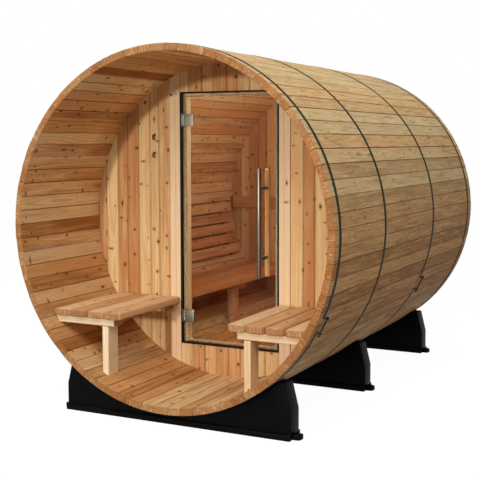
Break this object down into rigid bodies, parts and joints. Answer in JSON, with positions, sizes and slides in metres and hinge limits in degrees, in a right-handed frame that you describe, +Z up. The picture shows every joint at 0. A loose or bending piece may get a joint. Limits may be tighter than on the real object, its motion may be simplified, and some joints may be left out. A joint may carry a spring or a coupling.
{
  "type": "barrel sauna",
  "caption": "Wooden barrel sauna on moulded cradles, with an open front porch, slatted benches, an all-glass hinged door and a furnished cabin behind it.",
  "frame": {"origin": "middle of the footprint, on the ground under the cradles", "axes": "+Z up, the barrel's axis along Y with the open porch end at -Y, +X to the right as seen from the porch"},
  "size_m": [1.833, 2.45, 1.9014],
  "materials": {
    "cedar_staves": "oiled knotty cedar, warm inside and greyer outside",
    "wall_boards": "planed knotty cedar boards",
    "jamb_wood": "planed pale cedar",
    "porch_bench_wood": "planed pale cedar with eased edges",
    "cabin_wood": "planed red-brown cedar",
    "hoop_steel": "dark satin steel strap",
    "cradle_moulding": "black moulded plastic with a fine grain",
    "black_liner": "black rubber profile",
    "catch_metal": "dark satin metal",
    "hinge_steel": "brushed steel",
    "handle_steel": "polished steel tube",
    "door_glass": "clear toughened glass",
    "clear_seal": "translucent soft plastic"
  },
  "bodies": {
    "cabin": {"stave_bank_01": "cedar_staves", "stave_bank_02": "cedar_staves", "stave_bank_03": "cedar_staves", "stave_bank_04": "cedar_staves", "stave_bank_05": "cedar_staves", "stave_bank_06": "cedar_staves", "stave_bank_07": "cedar_staves", "stave_bank_08": "cedar_staves", "stave_bank_09": "cedar_staves", "stave_bank_10": "cedar_staves", "stave_bank_11": "cedar_staves", "stave_bank_12": "cedar_staves", "stave_bank_13": "cedar_staves", "stave_bank_14": "cedar_staves", "stave_bank_15": "cedar_staves", "front_wall_left": "wall_boards", "front_wall_right": "wall_boards", "front_wall_head": "wall_boards", "front_wall_sill": "wall_boards", "jamb_left": "jamb_wood", "jamb_right": "jamb_wood", "rear_wall": "wall_boards", "rear_batten": "cabin_wood", "hoops": "hoop_steel", "cradle_front": "cradle_moulding", "cradle_middle": "cradle_moulding", "cradle_rear": "cradle_moulding", "porch_slats_left": "porch_bench_wood", "porch_slats_right": "porch_bench_wood", "porch_frame_left": "porch_bench_wood", "porch_frame_right": "porch_bench_wood", "cabin_slats": "cabin_wood", "cabin_frame": "cabin_wood", "backrest_boards": "cabin_wood", "backrest_ribs": "cabin_wood", "door_liner": "black_liner", "door_catch": "catch_metal", "hinge_brackets": "hinge_steel"},
    "door": {"door_glass": "door_glass", "door_seal": "clear_seal", "door_pull": "handle_steel", "door_grip": "cabin_wood", "hinge_clamps": "hinge_steel"}
  },
  "joints": [
    {"name": "door_hinge", "type": "hinge", "parent": "cabin", "child": "door", "pos_m": [-0.292, -0.53075, 0.985], "axis": [0, 0, -1], "range_deg": [0, 90]}
  ]
}
